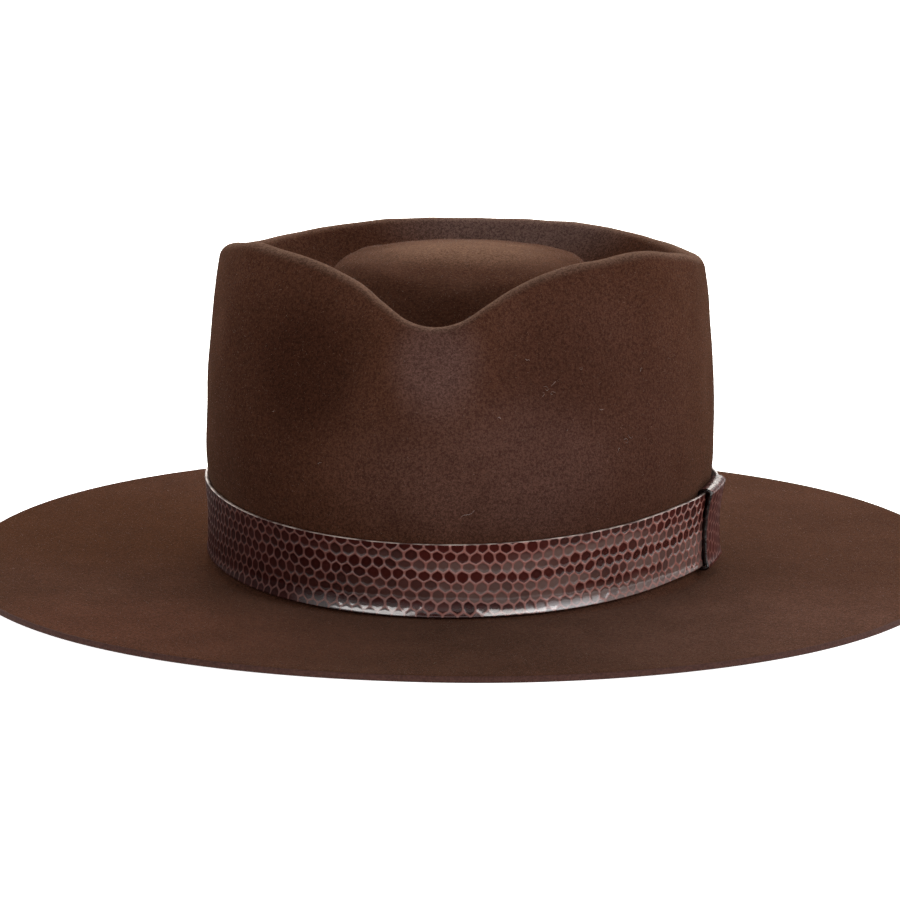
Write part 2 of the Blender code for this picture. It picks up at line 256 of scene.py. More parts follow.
def column_curve(name, azimuth):
    """Read one column of the section table at many azimuths, on a smooth curve."""
    index = SECTION_COLUMNS.index(name)
    half = [(row[0], row[index]) for row in SECTIONS]
    mirrored = [(-place, share) for place, share in half[1:3]][::-1]
    beyond = [(360.0 - place, share) for place, share in half[-3:-1]][::-1]
    rows = np.array(mirrored + half + beyond)
    places = np.radians(rows[:, 0])
    shares = rows[:, 1]
    slopes = np.gradient(shares, places)
    folded = np.abs((azimuth + math.pi) % TURN - math.pi)
    row = np.minimum(np.searchsorted(places, folded, side="right") - 1, len(places) - 2)
    span = places[row + 1] - places[row]
    t = (folded - places[row]) / span
    return hermite(t, shares[row], shares[row + 1], slopes[row] * span, slopes[row + 1] * span)


def section(azimuth):
    """All columns of the section table at many azimuths, by name."""
    return {name: column_curve(name, azimuth) for name in SECTION_COLUMNS[1:]}


def oval_reach(azimuth, half_width, half_length, squareness):
    """Distance from the axis to an oval, in the direction of each azimuth."""
    across = np.abs(np.sin(azimuth) / half_width) ** squareness
    along = np.abs(np.cos(azimuth) / half_length) ** squareness
    return (across + along) ** (-1.0 / squareness)


def waist_reach(azimuth):
    """Reach of the felt's outer face where the band draws it in."""
    return oval_reach(azimuth, HALF_WIDTH, HALF_LENGTH, HEAD_SQUARENESS)


def brim_reach(azimuth):
    """Reach of the brim's cut edge."""
    return oval_reach(azimuth, HALF_WIDTH + BRIM_WIDTH, HALF_LENGTH + BRIM_WIDTH, BRIM_SQUARENESS)


def rim_height(row):
    """Height of the rim's crest at each section."""
    return CROWN_HEIGHT - row["drop"] * PINCH_DROP


def wall_reach(azimuth, height, row):
    """Reach of the felt's outer face at a height on the crown's wall."""
    swell_foot = FELT + BAND_LIFT + 0.5 * (BAND_WIDTH + BAND_SIDE_RISE)
    swell = CROWN_SWELL * smooth_step((height - swell_foot) / SWELL_RUN)
    rise = np.maximum(0.0, height - LEAN_START) / (rim_height(row) - LEAN_START)
    lean = row["lean"] * PINCH_LEAN * rise ** LEAN_POWER
    dent = row["dent"] * DENT_DEPTH * smooth_step((height - DENT_FOOT) / (DENT_HEAD - DENT_FOOT))
    return waist_reach(azimuth) + swell - lean - dent


def on_azimuth(azimuth, reach, height):
    """Points at a reach and a height, in the direction of each azimuth."""
    height = np.broadcast_to(height, np.shape(reach))
    return np.stack([reach * np.sin(azimuth), -reach * np.cos(azimuth), height], axis=-1)


def wall_top(azimuth, row):
    """Height and lean angle where the wall meets the roll of the rim."""
    step = 1.0 * MM
    height = rim_height(row) - RIM_RADIUS
    closing = wall_reach(azimuth, height - step, row) - wall_reach(azimuth, height, row)
    angle = np.arctan2(closing, step)
    return height + RIM_RADIUS * np.sin(angle), angle


def inner_tilt(reach, row):
    """Angle at which the inside of the rim falls away, less where the moat is shallow."""
    run = (1.0 - row["moat"]) * reach
    steepest = np.arctan2(2.0 * row["depth"] * MOAT_DEPTH, run)
    return np.minimum(RIM_INNER_TILT, steepest)


def felt_rings(azimuth):
    """Reach and height of the felt's outer face, ring by ring from the brim's edge inwards."""
    row = section(azimuth)
    rings = []
    outer = brim_reach(azimuth) - EDGE_ROUND
    inner = waist_reach(azimuth) + BREAK_RADIUS
    for t in np.linspace(0.0, 1.0, BRIM_RINGS + 1):
        rings.append((outer + (inner - outer) * t, np.full_like(outer, FELT)))
    for angle in np.linspace(0.0, 0.5 * math.pi, BREAK_RINGS + 1)[1:]:
        height = FELT + BREAK_RADIUS * (1.0 - math.cos(angle))
        rings.append((inner - BREAK_RADIUS * math.sin(angle), np.full_like(outer, height)))
    top, lean = wall_top(azimuth, row)
    foot = FELT + BREAK_RADIUS
    for t in np.linspace(0.0, 1.0, WALL_RINGS + 1)[1:]:
        height = foot + (top - foot) * t
        rings.append((wall_reach(azimuth, height, row), height))
    reach = rings[-1][0]
    centre = reach - RIM_RADIUS * np.cos(lean)
    middle = top - RIM_RADIUS * np.sin(lean)
    end = 0.5 * math.pi + inner_tilt(reach, row)
    for t in np.linspace(0.0, 1.0, RIM_RINGS + 1)[1:]:
        angle = lean + (end - lean) * t
        rings.append((centre + RIM_RADIUS * np.cos(angle), middle + RIM_RADIUS * np.sin(angle)))
    rim_reach, rim_edge = rings[-1]
    moat = row["moat"] * rim_reach
    moat_floor = rim_height(row) - row["depth"] * MOAT_DEPTH
    run = rim_reach - moat
    rim_slope = -np.tan(inner_tilt(rim_reach, row)) * run
    for t in np.linspace(0.0, 1.0, MOAT_RINGS + 1)[1:]:
        rings.append((rim_reach - t * run, hermite(t, rim_edge, moat_floor, rim_slope, 0.0)))
    shoulder_reach = row["shoulder"] * rim_reach
    island = CROWN_HEIGHT - ISLAND_DROP
    shoulder = island - row["fall"] * MOAT_DEPTH
    rise = moat - shoulder_reach
    slope = SHOULDER_ROUNDNESS * (island - shoulder) / shoulder_reach
    side_rings = (ISLAND_RINGS + 1) // 2
    for t in np.linspace(0.0, 1.0, side_rings + 1)[1:]:
        rings.append((moat - t * rise, hermite(t, moat_floor, shoulder, 0.0, slope * rise)))
    dome_rings = ISLAND_RINGS - side_rings + 1
    for t in np.linspace(0.0, 1.0, dome_rings + 1)[1:-1]:
        height = hermite(t, shoulder, island, slope * shoulder_reach, 0.0)
        rings.append((shoulder_reach * (1.0 - t), height))
    return np.stack([on_azimuth(azimuth, *ring) for ring in rings])


def waves(points, count, shortest, longest, seed):
    """Sum of random sine waves over space, between -1 and 1 or a little more."""
    random = np.random.default_rng(seed)
    total = np.zeros(points.shape[:-1])
    for _ in range(count):
        direction = random.normal(size=3)
        direction /= np.linalg.norm(direction)
        length = shortest * (longest / shortest) ** random.random()
        total += np.sin(TURN * (points @ direction) / length + TURN * random.random())
    return total / math.sqrt(0.5 * count) / 1.6


def grid_normals(points):
    """Normals of a grid of rings that closes round the hat, pointing out of the felt."""
    along = np.gradient(points, axis=0)
    around = np.roll(points, -1, axis=1) - np.roll(points, 1, axis=1)
    normals = np.cross(around, along)
    return normals / np.maximum(np.linalg.norm(normals, axis=-1, keepdims=True), 1e-12)


def make_object(name, vertices, faces, materials, face_materials=None, uv=None):
    """A mesh object from arrays, with optional face materials and corner coordinates."""
    data = bpy.data.meshes.new(name)
    data.from_pydata(vertices.tolist(), [], faces if isinstance(faces, list) else faces.tolist())
    for material in materials:
        data.materials.append(material)
    if face_materials is not None:
        data.polygons.foreach_set("material_index", np.asarray(face_materials, dtype=np.int32))
    if uv is not None:
        layer = data.uv_layers.new(name=PATTERN_LAYER)
        layer.data.foreach_set("uv", np.asarray(uv, dtype=np.float32).ravel())
    data.polygons.foreach_set("use_smooth", np.full(len(data.polygons), True))
    data.validate()
    data.update()
    item = bpy.data.objects.new(name, data)
    bpy.context.scene.collection.objects.link(item)
    return item


class Nodes:
    """Short calls for the nodes of one material."""

    def __init__(self, name):
        self.material = bpy.data.materials.new(name)
        self.material.use_nodes = True
        self.tree = self.material.node_tree
        self.shader = self.tree.nodes["Principled BSDF"]

    def put(self, target, value):
        """Link an output to a socket, or set the socket's value."""
        if isinstance(value, bpy.types.NodeSocket):
            self.tree.links.new(value, target)
        else:
            target.default_value = value

    def add(self, kind, **settings):
        """A node with some of its properties set."""
        node = self.tree.nodes.new(kind)
        for key, value in settings.items():
            setattr(node, key, value)
        return node

    def math(self, operation, first, second=0.0, third=0.0):
        """The result of one math node."""
        node = self.add("ShaderNodeMath", operation=operation)
        for socket, value in zip(node.inputs, (first, second, third)):
            self.put(socket, value)
        return node.outputs[0]

    def times(self, first, second):
        """The product of two values."""
        return self.math("MULTIPLY", first, second)

    def mix(self, factor, first, second):
        """A colour between two colours."""
        node = self.add("ShaderNodeMix", data_type="RGBA")
        for index, value in ((0, factor), (6, first), (7, second)):
            if isinstance(value, tuple):
                value = (*value, 1.0)
            self.put(node.inputs[index], value)
        return node.outputs[2]

    def map(self, value, low, high, to_low=0.0, to_high=1.0):
        """A value eased from one range to another."""
        node = self.add("ShaderNodeMapRange", interpolation_type="SMOOTHSTEP")
        for socket, item in zip(node.inputs, (value, low, high, to_low, to_high)):
            self.put(socket, item)
        return node.outputs[0]

    def vector(self, operation, first, second):
        """The vector from one vector math node."""
        node = self.add("ShaderNodeVectorMath", operation=operation)
        self.put(node.inputs[0], first)
        self.put(node.inputs["Scale" if operation == "SCALE" else 1], second)
        return node.outputs[0]

    def split(self, vector):
        """The parts of a vector."""
        node = self.add("ShaderNodeSeparateXYZ")
        self.put(node.inputs[0], vector)
        return node.outputs

    def pair(self, first, second):
        """A vector from two values."""
        node = self.add("ShaderNodeCombineXYZ")
        self.put(node.inputs[0], first)
        self.put(node.inputs[1], second)
        return node.outputs[0]

    def pattern(self):
        """The two pattern coordinates that the mesh carries."""
        return self.split(self.add("ShaderNodeUVMap", uv_map=PATTERN_LAYER).outputs[0])[:2]

    def place(self):
        """Coordinates of the object, in metres."""
        return self.add("ShaderNodeTexCoord").outputs["Object"]

    def noise(self, place, scale, detail=2.0, roughness=0.5):
        """Smooth noise of a number of features to the metre, around 0.5."""
        node = self.add("ShaderNodeTexNoise")
        self.put(node.inputs["Vector"], place)
        self.put(node.inputs["Scale"], scale)
        self.put(node.inputs["Detail"], detail)
        self.put(node.inputs["Roughness"], roughness)
        return node.outputs[0]

    def bump(self, height, distance, strength):
        """A normal bent by a height."""
        node = self.add("ShaderNodeBump")
        self.put(node.inputs["Strength"], strength)
        self.put(node.inputs["Distance"], distance)
        self.put(node.inputs["Height"], height)
        return node.outputs[0]

    def set(self, **values):
        """Set or link sockets of the shader, with underscores for spaces."""
        for key, value in values.items():
            if isinstance(value, tuple) and len(value) == 3:
                value = (*value, 1.0)
            self.put(self.shader.inputs[key.replace("_", " ")], value)
        return self.material


def light_and_shade_spots(n, place):
    """How far a place lies inside each spot of painted light and shade on the felt, from 0 to 1.
    """
    spots = []
    for centre, radii, _, _ in FELT_LIGHT_AND_SHADE:
        far = n.add("ShaderNodeVectorMath", operation="LENGTH")
        n.put(far.inputs[0], n.vector("DIVIDE", n.vector("SUBTRACT", place, centre), radii))
        spots.append(n.map(far.outputs["Value"], SPOT_CORE, 1.0, 1.0, 0.0))
    return spots


def felt_material(name, dark, light, with_painted_light):
    """Fur felt: fine mottled grain, an uneven dye and, if asked, spots of painted light and shade
    and a painted highlight along the rim's crest.
    """
    n = Nodes(name)
    place = n.place()
    cloud = n.noise(place, 45.0, 3.0, 0.6)
    mottle = n.noise(place, 1100.0, 3.0, 0.75)
    grain = n.noise(place, 2900.0, 2.0, 0.7)
    colour = n.mix(n.map(cloud, 0.30, 0.70), dark, light)
    if with_painted_light:
        # Spots of painted light and shade.
        for share, (_, _, power, tint) in zip(light_and_shade_spots(n, place), FELT_LIGHT_AND_SHADE):
            share = n.times(share, n.map(cloud, 0.25, 0.75, 0.80, 1.10))
            colour = n.mix(n.times(share, power), colour, tint)
        # A painted highlight along the rim's crest, fading over some rings.
        crest = n.map(n.math("ABSOLUTE", n.pattern()[1]), *CREST_FADE, CREST_POWER, 0.0)
        colour = n.mix(crest, colour, CREST_HIGHLIGHT)
    shade = n.math("MULTIPLY_ADD", mottle, 0.55, n.times(grain, 0.45))
    shade = n.map(shade, 0.40, 0.60, *FELT_GRAIN)
    colour = n.vector("SCALE", colour, shade)
    height = n.math("MULTIPLY_ADD", mottle, 0.7, grain)
    normal = n.bump(height, 0.20 * MM, 0.6)
    return n.set(
        Base_Color=colour, Roughness=0.8, Specular_IOR_Level=0.0, Normal=normal,
        Sheen_Weight=FELT_SHEEN, Sheen_Roughness=0.4, Sheen_Tint=SHEEN_TINT)


def mottled_material(name, grain, spread, dark, light, relief=None, **finish):
    """A finish in two colours mixed by noise.

    grain is the noise's scale, detail and roughness, spread its range, or None for all of it, and
    relief the distance and strength of a bump by the same noise.
    """
    n = Nodes(name)
    tone = n.noise(n.place(), *grain)
    if relief:
        finish["Normal"] = n.bump(tone, *relief)
    return n.set(Base_Color=n.mix(n.map(tone, *spread) if spread else tone, dark, light), **finish)


def hair_material(name, dark, light):
    """Loose hairs and fibres on the felt."""
    return mottled_material(name, (700.0, 2.0, 0.7), (0.3, 0.7), dark, light,
                            Roughness=0.6, Specular_IOR_Level=0.3)


def build_felt():
    """Crown, brim and the inside of the hat as one closed skin."""
    azimuth = TURN * np.arange(FELT_COLUMNS) / FELT_COLUMNS
    outer = felt_rings(azimuth)
    normals = grid_normals(outer)
    crown = smooth_step((outer[..., 2] - 2.0 * FELT) / (20.0 * MM))
    uneven = waves(outer, 14, 14.0 * MM, 60.0 * MM, WAVE_SEED)
    lift = waves(outer * np.array([1.0, 1.0, 0.0]), 6, 90.0 * MM, 200.0 * MM, WAVE_SEED + 1)
    reach = np.linalg.norm(outer[..., :2], axis=-1)
    edge_share = (reach - waist_reach(azimuth) - BREAK_RADIUS) / (BRIM_WIDTH - BREAK_RADIUS)
    brim = smooth_step(edge_share) * (1.0 - crown)
    outer += normals * (WAVE_DEPTH * uneven * crown)[..., None]
    rise = BRIM_WAVE * (0.5 + 0.5 * np.clip(lift, -1.0, 1.0)) * brim
    outer[..., 2] += rise
    normals = grid_normals(outer)
    inner = outer - normals * FELT
    on_brim = outer[..., 2] < FELT + BRIM_WAVE + 0.01 * MM
    inner[..., 2] = np.where(on_brim, rise, inner[..., 2])
    inner[..., :2] = np.where(on_brim[..., None], outer[..., :2], inner[..., :2])

    edge = brim_reach(azimuth)
    edge_rings = [on_azimuth(azimuth, edge, height + rise[0])
                  for height in (EDGE_ROUND, 0.5 * FELT, FELT - EDGE_ROUND)]
    for height, turn in ((EDGE_ROUND, -1.0), (FELT - EDGE_ROUND, 1.0)):
        corner = height + turn * 0.7 * EDGE_ROUND
        edge_rings.append(on_azimuth(azimuth, edge - 0.3 * EDGE_ROUND, corner + rise[0]))
    upwards = (3, 0, 1, 2, 4)
    edge_rings = [edge_rings[index] for index in upwards]

    picks = list(range(0, len(outer), LINING_STEP))
    lining = [inner[index] for index in picks[::-1]]
    rings = lining + edge_rings + list(outer)
    count = FELT_COLUMNS
    centres = np.array([inner[-1].mean(axis=0), outer[-1].mean(axis=0)])
    vertices = np.concatenate(rings + [centres])
    vertices[-2][2] = inner[-1][:, 2].mean() + 0.2 * MM
    vertices[-1][2] = CROWN_HEIGHT - ISLAND_DROP
    ring = np.arange(count)
    beside = (ring + 1) % count
    start = np.arange(len(rings) - 1)[:, None] * count + ring
    following = np.arange(len(rings) - 1)[:, None] * count + beside
    quads = np.stack([start, following, following + count, start + count], axis=-1).reshape(-1, 4)
    last = (len(rings) - 1) * count
    caps = [(int(j), int(i), len(vertices) - 2) for i, j in zip(ring, beside)]
    caps += [(int(last + i), int(last + j), len(vertices) - 1) for i, j in zip(ring, beside)]
    faces = quads.tolist() + caps
    slots = np.zeros(len(faces), dtype=np.int32)
    first_edge = (len(lining) - 1) * count
    slots[first_edge:first_edge + (len(edge_rings) + 1) * count] = 1
    slots[:first_edge] = 2
    slots[len(quads):len(quads) + count] = 2
    roll_start = BRIM_RINGS + 1 + BREAK_RINGS + WALL_RINGS
    crest_ring = len(lining) + len(edge_rings) + roll_start + CREST_RING
    ring_place = np.repeat(np.arange(len(rings)) - crest_ring, count).astype(float)
    ring_place = np.concatenate([ring_place, [-count, count]])
    corner = np.concatenate([quads.ravel(), np.array(caps).ravel()])
    uv = np.stack([np.zeros(len(corner)), ring_place[corner]], axis=-1)
    body = make_object("felt_hat_body", vertices, faces, [
        felt_material("brown_fur_felt", (0.038, 0.0148, 0.0084), (0.047, 0.0190, 0.0112), True),
        mottled_material(
            "felt_cut_edge", (1300.0, 3.0, 0.6), (0.3, 0.7), (0.030, 0.011, 0.0080),
            (0.056, 0.023, 0.0170), (0.12 * MM, 0.6), Roughness=0.9, Specular_IOR_Level=0.2),
        felt_material("felt_inside", (0.036, 0.0138, 0.0078), (0.044, 0.0172, 0.0100), False),
    ], slots, uv)
    return body, outer, normals


def scatter(random, outer, normals, count, keep=1.0):
    """Roots of hairs spread over the felt, with the ways up, along and across at each."""
    columns = outer.shape[1]
    area = np.linalg.norm(np.cross(
        outer[1:] - outer[:-1], np.roll(outer, -1, axis=1)[:-1] - outer[:-1]), axis=-1)
    share = np.cumsum((area * keep).ravel())
    cell = np.searchsorted(share, random.random(count) * share[-1])
    ring, column = np.divmod(cell, columns)
    a = random.random(count)[:, None]
    b = random.random(count)[:, None]
    beyond = (column + 1) % columns
    near = outer[ring, column] * (1 - a) + outer[ring, beyond] * a
    far = outer[ring + 1, column] * (1 - a) + outer[ring + 1, beyond] * a
    root = near * (1 - b) + far * b
    up = normals[ring, column]
    side = np.cross(up, random.normal(size=(count, 3)))
    side /= np.linalg.norm(side, axis=-1, keepdims=True)
    return root, up, side, np.cross(up, side)


def build_nap(outer, normals):
    """Loose hairs that lie on the felt, each a thin tapered spike with one bend."""
    random = np.random.default_rng(HAIR_SEED)
    root, up, side, cross = scatter(random, outer, normals, HAIRS)
    low, high = HAIR_LENGTH
    length = (low + (high - low) * random.random(HAIRS) ** 2)[:, None]
    lift = np.radians(8.0 + 38.0 * random.random(HAIRS) ** 1.5)[:, None]
    curl = (random.random(HAIRS)[:, None] - 0.5) * HAIR_CURL
    middle = root + 0.5 * length * (side * np.cos(lift) + up * np.sin(lift))
    bend = side * np.cos(curl) + cross * np.sin(curl)
    tip = middle + 0.5 * length * (bend * np.cos(lift * 0.4) + up * np.sin(lift * 0.4))
    width = (HAIR_WIDTH * (0.6 + 0.8 * random.random(HAIRS)))[:, None]
    parts = [root - HAIR_ROOT * up + 0.5 * width * (cross * x + up * y) for x, y in SPOKES]
    parts += [middle + 0.4 * width * (cross * x + up * y) for x, y in SPOKES]
    vertices = np.stack(parts + [tip], axis=1).reshape(-1, 3)
    base = np.arange(HAIRS)[:, None] * 7
    corners = [(k, (k + 1) % 3) for k in range(3)]
    quads = np.concatenate([base + np.array([[a, b, 3 + b, 3 + a]]) for a, b in corners])
    tips = np.concatenate([base + np.array([[3 + a, 3 + b, 6]]) for a, b in corners])
    roots = base + np.array([[2, 1, 0]])
    faces = quads.tolist() + tips.tolist() + roots.tolist()
    return make_object("felt_nap", vertices, faces, [
        hair_material("nap_hair", (0.070, 0.035, 0.026), (0.20, 0.13, 0.10))])


def build_fuzz(name, outer, normals, seed, crown):
    """Very short fuzz that roughens the felt and its outline, each hair a bare spike."""
    random = np.random.default_rng(seed)
    high = outer[:-1, :, 2] > FELT + 0.5 * BREAK_RADIUS
    root, up, side, cross = scatter(random, outer, normals, FUZZ, high if crown else ~high)
    shortest, longest = FUZZ_LENGTH
    length = shortest + (longest - shortest) * random.random(FUZZ)[:, None]
    lift = np.radians(15.0 + 50.0 * random.random(FUZZ))[:, None]
    tip = root + length * (side * np.cos(lift) + up * np.sin(lift))
    thin, thick = FUZZ_WIDTH
    width = thin + (thick - thin) * random.random(FUZZ)[:, None]
    parts = [root - FUZZ_ROOT * up + 0.5 * width * (cross * x + up * y) for x, y in SPOKES]
    vertices = np.stack(parts + [tip], axis=1).reshape(-1, 3)
    base = np.arange(FUZZ)[:, None] * 4
    faces = np.concatenate([base + np.array([[k, (k + 1) % 3, 3]]) for k in range(3)]
                           + [base + np.array([[2, 1, 0]])])
    return make_object(name, vertices, faces, [bpy.data.materials["nap_fuzz"]])


def build_lint():
    """A few curled fibres and one speck of dust that cling to the front of the crown."""
    random = np.random.default_rng(LINT_SEED)
    vertices, faces = [], []
    steps = np.linspace(0.0, 1.0, 9)
    for azimuth, height, length, bend in LINT:
        azimuth = math.radians(azimuth)
        heading = TURN * random.random()
        turned = heading + bend * steps + 0.7 * np.sin(5.0 * steps + TURN * random.random())
        across = np.cumsum(np.cos(turned)) * length * MM / len(steps)
        upward = np.cumsum(np.sin(turned)) * length * MM / len(steps)
        places = azimuth + across / HALF_LENGTH
        heights = height * MM + upward
        reach = wall_reach(places, heights, section(places)) + WAVE_DEPTH + LINT_LIFT * steps
        line = on_azimuth(places, reach, heights)
        width = LINT_WIDTH * (1.0 - 0.6 * steps)[:, None]
        base = len(vertices)
        out = np.array([math.sin(azimuth), -math.cos(azimuth), 0.0])
        up = np.array([0.0, 0.0, 1.0])
        for point, across_fibre in zip(line, width):
            vertices += [point + 0.5 * across_fibre * (out * x + up * y) for x, y in SPOKES]
        for step in range(len(steps) - 1):
            for k in range(3):
                a, b = base + 3 * step + k, base + 3 * step + (k + 1) % 3
                faces.append((a, b, b + 3, a + 3))
        faces.append((base + 2, base + 1, base))
        end = base + 3 * (len(steps) - 1)
        faces.append((end, end + 1, end + 2))
    return make_object("felt_lint", np.array(vertices), faces, [
        hair_material("lint_fibre", (0.16, 0.12, 0.105), (0.42, 0.36, 0.33))])


def scale_local(u, v):
    """Place within the nearest scale of the staggered rows, and the scale's own column and row."""
    ratio = SCALE_ROW / SCALE_LENGTH
    even_u, even_v = np.round(u), 2.0 * np.round(0.5 * v)
    odd_u, odd_v = np.round(u - 0.5) + 0.5, 2.0 * np.round(0.5 * (v - 1.0)) + 1.0
    even = (u - even_u) ** 2 + (ratio * (v - even_v)) ** 2
    odd = (u - odd_u) ** 2 + (ratio * (v - odd_v)) ** 2
    first = even < odd
    column, line = np.where(first, even_u, odd_u), np.where(first, even_v, odd_v)
    return u - column, ratio * (v - line), column, line


def scale_edge(x, y):
    """How far a place in a scale is towards its edge, from 0 to 0.5, with rounded corners."""
    ratio = SCALE_ROW / SCALE_LENGTH
    across = np.abs(x)
    slant = (0.5 * across + ratio * np.abs(y)) / (0.25 + ratio * ratio)
    blend = np.maximum(SCALE_ROUND - np.abs(across - slant), 0.0) / SCALE_ROUND
    return np.maximum(across, slant) + blend ** 3 * SCALE_ROUND / 6.0


def scale_relief(u, v):
    """Height of the leather: a raised net of soft ridges round flat scales, tilted a little."""
    x, y, column, line = scale_local(u, v)
    edge = scale_edge(x, y)
    random = np.random.default_rng(SCALE_SEED)
    table = random.normal(size=(2, 512, 64))
    i = (2 * column).astype(int) % 512
    j = line.astype(int) % 64
    tilt = SCALE_TILT * (table[0, i, j] * x + table[1, i, j] * y) * SCALE_LENGTH / SCALE_RELIEF
    ridge = smooth_step((edge - 0.35) / 0.13)
    return SCALE_RELIEF * (ridge + tilt * smooth_step((0.47 - edge) / 0.1))


def scale_wander(u, v):
    """Pattern coordinates with the uneven rows and sizes of a natural skin."""
    wide = 0.55 * np.sin(0.071 * u + 0.9) + 0.25 * np.sin(0.19 * u + 2.0)
    near = 0.07 * np.sin(1.3 * u + 0.7 * v) + 0.06 * np.sin(0.9 * u - 1.7 * v + 1.0)
    drift = 0.22 * np.sin(0.11 * u + 0.4) + 0.10 * np.sin(0.37 * u + 1.3)
    jog = 0.07 * np.sin(1.1 * u + 2.1 * v + 0.5) + 0.05 * np.sin(2.3 * u - 1.1 * v)
    return u + wide + near, v + drift + jog


def leather_cells(n, u, v):
    """The nearest scale's column and row, and how far a place is towards that scale's edge."""
    ratio = SCALE_ROW / SCALE_LENGTH
    cells = []
    for shift, first in ((0.0, 0.0), (0.5, 1.0)):
        column = n.math("ADD", n.math("ROUND", n.math("SUBTRACT", u, shift)), shift)
        line = n.times(n.math("SUBTRACT", v, first), 0.5)
        line = n.math("MULTIPLY_ADD", n.math("ROUND", line), 2.0, first)
        x = n.math("SUBTRACT", u, column)
        y = n.times(n.math("SUBTRACT", v, line), ratio)
        apart = n.math("MULTIPLY_ADD", x, x, n.times(y, y))
        cells.append((column, line, x, y, apart))
    even, odd = cells
    first = n.math("LESS_THAN", even[4], odd[4])
    column, line, x, y = [n.math("MULTIPLY_ADD", first, n.math("SUBTRACT", a, b), b)
                          for a, b in zip(even[:4], odd[:4])]
    across = n.math("ABSOLUTE", x)
    slant = n.math("MULTIPLY_ADD", across, 0.5, n.times(n.math("ABSOLUTE", y), ratio))
    slant = n.math("DIVIDE", slant, 0.25 + ratio * ratio)
    return column, line, n.math("SMOOTH_MAX", across, slant, SCALE_ROUND)


def leather_material(name, dark_scale, scale, gap, gloss, foot_gloss, band_finish, haze):
    """Glazed scale-grain leather. Its pattern follows the scales of the mesh.

    gloss is the coat on the scales, foot_gloss the one along the foot, and haze its roughness.
    band_finish is 1 for the band, with its runs of scales in a painted sheen, and 0 for the
    keeper.
    """
    n = Nodes(name)
    columns, rows = n.pattern()
    column, line, edge = leather_cells(n, columns, rows)
    noise = n.add("ShaderNodeTexWhiteNoise", noise_dimensions="2D")
    n.put(noise.inputs["Vector"], n.pair(column, line))
    chance = noise.outputs["Value"]
    place = n.place()
    x, y = n.split(place)[:2]
    cloud = n.noise(place, 30.0, 2.0)
    fine = n.noise(place, 2600.0, 3.0, 0.6)
    inside = n.map(edge, 0.375, 0.475, 1.0, 0.0)
    core = n.map(edge, 0.05, 0.40, 1.0, 0.0)

    tone = n.math("MULTIPLY_ADD", chance, 0.35, n.times(cloud, 0.9))
    body = n.mix(n.map(tone, 0.25, 0.95), dark_scale, scale)
    body = n.mix(n.times(core, 0.45), body, scale)
    # Runs of scales and the lowest rows on the right are painted paler: a painted sheen.
    stretched = n.vector("MULTIPLY", n.pair(column, line), RUN_STRETCH)
    run = n.map(n.noise(stretched, 1.0, 1.0), *RUN_NOISE)
    painted_sheen = n.times(run, n.map(x, *RUN_ALONG_X))
    painted_sheen = n.times(painted_sheen, n.map(rows, *RUN_ROWS))
    low = n.times(n.map(x, *LOW_ALONG_X), n.map(rows, *LOW_ROWS))
    painted_sheen = n.times(n.math("MAXIMUM", painted_sheen, low), band_finish)
    painted_sheen = n.times(painted_sheen, n.math("MULTIPLY_ADD", chance, 0.4, 0.7))
    body = n.mix(painted_sheen, body, PAINTED_SHEEN_SCALE)
    seam = n.mix(n.map(cloud, 0.35, 0.65), tuple(0.75 * c for c in gap), gap)
    seam = n.mix(n.times(fine, 0.5), seam, tuple(0.6 * c for c in gap))
    # Painted shade darkens the left of the band, over the net and the scales.
    colour = n.mix(n.map(x, *LEFT_SHADE_ALONG_X), n.mix(inside, seam, body), dark_scale)

    height = n.math("MULTIPLY_ADD", fine, 0.10, n.times(inside, -1.0))
    normal = n.bump(height, 0.08 * MM, 0.5)
    rough = n.math("MULTIPLY_ADD", inside, 0.16, 0.34)
    foot = n.times(n.map(rows, *FOOT_ROWS), foot_gloss)
    foot = n.times(foot, n.map(x, *FOOT_ALONG_X))
    foot = n.times(foot, n.map(y, *FOOT_ALONG_Y))
    scales = n.math("MULTIPLY_ADD", run, band_finish * (RUN_GLOSS - gloss), gloss)
    net = NET_GLOSS * (KEEPER_NET_SHARE + (1.0 - KEEPER_NET_SHARE) * band_finish)
    coat = n.math("MULTIPLY_ADD", inside, n.math("SUBTRACT", scales, net), net)
    coat = n.times(coat, n.map(x, *NET_ALONG_X))
    side = n.times(n.map(x, *SIDE_ALONG_X), n.map(rows, *SIDE_ROWS))
    coat = n.math("MAXIMUM", foot, n.math("MAXIMUM", coat, side))
    return n.set(
        Base_Color=colour, Roughness=rough, Specular_IOR_Level=0.012, Normal=normal,
        Coat_Weight=coat, Coat_Roughness=haze, Coat_IOR=1.8)


def break_offset(height):
    """How far the fillet of the break stands out from the wall at a height."""
    depth = np.clip(FELT + BREAK_RADIUS - height, 0.0, BREAK_RADIUS)
    return BREAK_RADIUS - np.sqrt(BREAK_RADIUS ** 2 - depth ** 2)


def standoff(azimuth):
    """How far the keeper's inner leg holds the band off the felt, fading away on both sides."""
    turn = np.abs((azimuth - KEEPER_AZIMUTH + math.pi) % TURN - math.pi)
    leg = STANDOFF_SHARE * KEEPER_WIDTH / waist_reach(KEEPER_AZIMUTH)
    return (KEEPER_LEATHER + SEAT_GAP) * smooth_step(1.0 - (turn - leg) / STANDOFF_RUN)


def band_foot(azimuth):
    """Height of the band's lower edge."""
    return FELT + BAND_LIFT + BAND_SIDE_RISE * np.sin(azimuth) ** 2


def band_width(azimuth):
    """Width of the band, a little narrower at the front and the back from use."""
    return BAND_WIDTH - BAND_FRONT_TRIM * np.cos(azimuth) ** 2


def band_inner_reach(azimuth, height, row):
    """Reach of the band's inner face: on the felt, easing out over the break at its foot."""
    lowest = FELT + BAND_LIFT
    ease = np.clip(1.0 - (height - lowest) / (FLARE_RUN_SHARE * BREAK_RADIUS), 0.0, 1.0)
    flare = FLARE_SHARE * break_offset(lowest) * ease ** 2
    return wall_reach(azimuth, height, row) + SEAT_GAP + flare + standoff(azimuth)


